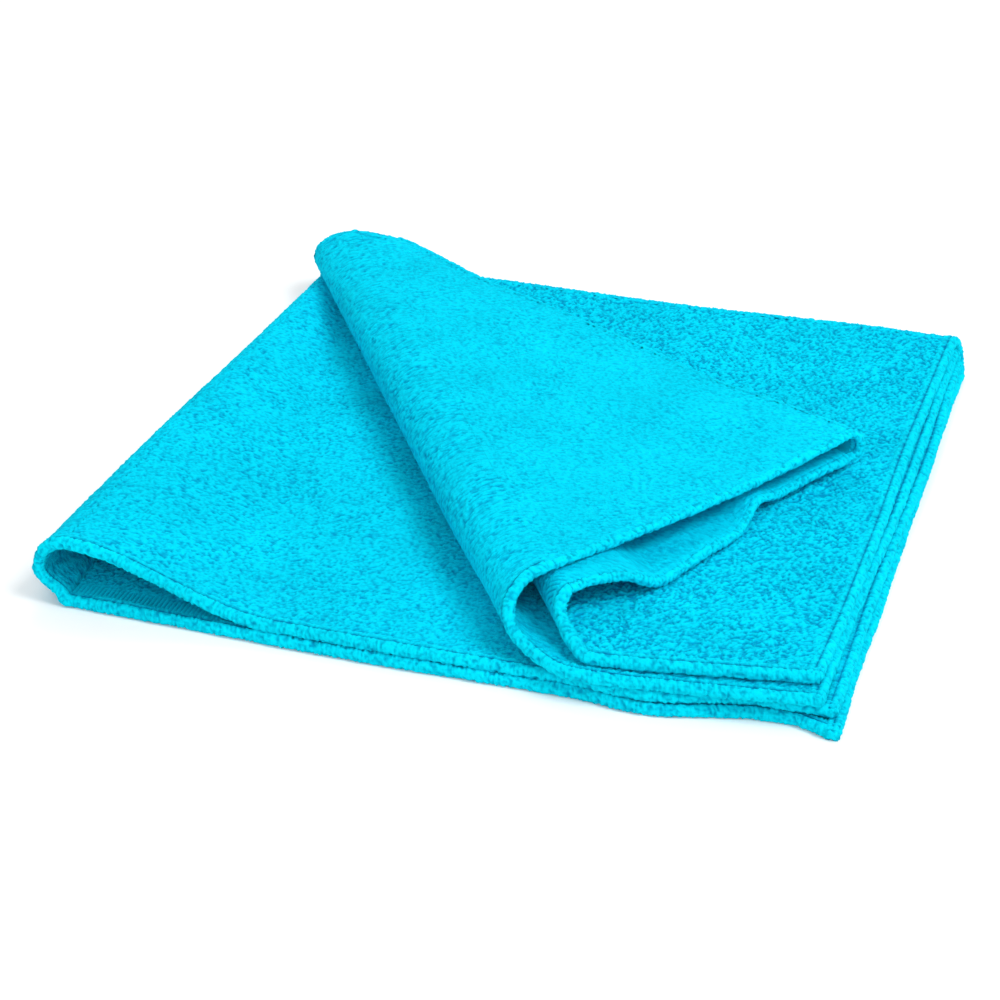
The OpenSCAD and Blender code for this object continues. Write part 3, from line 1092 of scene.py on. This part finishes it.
def roll_rim(given):
    surface, radius, axis_a, inset = given
    turn = mix(0, math.pi, share(BEND_POINTS))
    end = front_along(axis_a - radius * turn, inset)
    inside = surface(turn - RIM_STEP * ALONG[0] / radius, end + RIM_STEP * ALONG[1])
    return surface(turn, end), inside


def flap_rim(given):
    surface, radius, axis_a, inset = given
    v = share(EDGE_POINTS)
    along = mix(front_along(axis_a - math.pi * radius, inset), TIP_ALONG, v)
    across = mix(axis_a, TIP_ACROSS, v)
    inside = surface(along + RIM_STEP * ALONG[1], across - RIM_STEP * ALONG[0])
    return surface(along, across), inside


def tip_rim():
    turn = mix(0, math.pi, share(20))
    return edge_fold_surface(turn, TIP_ALONG), edge_fold_surface(turn, TIP_ALONG - RIM_STEP)


def back_to_front(pair):
    return pair[0][::-1], pair[1][::-1]


def chain(*pairs):
    rims, inners = zip(*pairs)
    rim, inside = np.concatenate(rims), np.concatenate(inners)
    fresh = np.concatenate([[True], np.linalg.norm(np.diff(rim, axis=0), axis=1) > SAME_PLACE])
    return rim[fresh], inside[fresh]


fold_start = loop_edge(FRONT + FRONT_INSET[0])
third_start = crease_x(OUTER_A, ply_y(2)[0]) - 0.4 * MM
top_start = crease_x(INNER_A, ply_y(3)[0]) - 0.4 * MM
hems = [
    ("folded_base", "lower_front", chain(
        back_to_front(front_rim(second_surface, 1, fold_start, RIGHT)), loop_rim(),
        front_rim(first_surface, 0, fold_start, RIGHT),
    )),
    ("folded_base", "third_front", front_rim(third_surface, 2, third_start, RIGHT)),
    ("folded_base", "top_front", front_rim(top_surface, 3, top_start, RIGHT)),
    ("folded_base", "outer_right", chain(
        right_rim(first_surface, 0), fold_rim(outer_back_fold),
        back_to_front(right_rim(top_surface, 3)),
    )),
    ("folded_base", "inner_right", chain(
        right_rim(second_surface, 1), fold_rim(inner_back_fold),
        back_to_front(right_rim(third_surface, 2)),
    )),
    ("outer", "outer_roll", roll_rim(outer)),
    ("inner", "inner_roll", roll_rim(inner)),
    ("corner_flap", "flap", chain(
        flap_rim(flap_upper), tip_rim(), back_to_front(flap_rim(flap_lower)),
    )),
]
for seed, (body, name, (rim, inside)) in enumerate(hems):
    thick = FLAP_HEM_THICK if name == "flap" else HEM_THICK
    pieces[body].append(hem_band(f"hem_{name}", rim, inside, thick, seed + HEM_SEED))
    pieces[body].append(needle_line(f"needle_thread_{name}", rim, inside, thick))

# ---------------------------------------------------------------- what rides on what

for body in ("folded_base", "corner_flap"):
    for piece in pieces[body]:
        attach(piece, body)
middle = crease_point(0.1, OUTER_A, 0.0)
for roll, axis_z, radius in (("outer", OUTER_Z, OUTER_R), ("inner", INNER_MID_Z, INNER_TALL)):
    for piece in pieces[roll]:
        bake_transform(piece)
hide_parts(*frame["nodes"])

# ---------------------------------------------------------------- floor and light

floor_bm = bmesh.new()
bmesh.ops.create_grid(floor_bm, x_segments=1, y_segments=1, size=4)
floor = bpy.data.objects.new("floor", to_mesh("floor", floor_bm))
floor_paint = bpy.data.materials.new("pale_floor")
floor_paint.use_nodes = True
floor_shader = floor_paint.node_tree.nodes["Principled BSDF"]
floor_shader.inputs["Base Color"].default_value = (0.93, 0.93, 0.93, 1)
floor_shader.inputs["Roughness"].default_value = 0.9
floor.data.materials.append(floor_paint)
bpy.context.scene.collection.objects.link(floor)


def softbox(name, place, size, watts):
    data = bpy.data.lights.new(name, "AREA")
    data.shape = "SQUARE"
    data.size = size
    data.energy = watts
    lamp = bpy.data.objects.new(name, data)
    lamp.location = place
    lamp.rotation_euler = Vector(place).to_track_quat("Z", "Y").to_euler()
    bpy.context.scene.collection.objects.link(lamp)


softbox("key", place=(0.75, -0.2, 1.05), size=0.6, watts=10)
softbox("back", place=(-0.2, 1.0, 1.0), size=0.8, watts=6.5)
softbox("front", place=(0.1, -1.1, 0.7), size=0.9, watts=5.5)
world = bpy.data.worlds.new("studio")
world.use_nodes = True
background = world.node_tree.nodes["Background"]
background.inputs["Color"].default_value = (1, 1, 1, 1)
background.inputs["Strength"].default_value = 0.55
bpy.context.scene.world = world
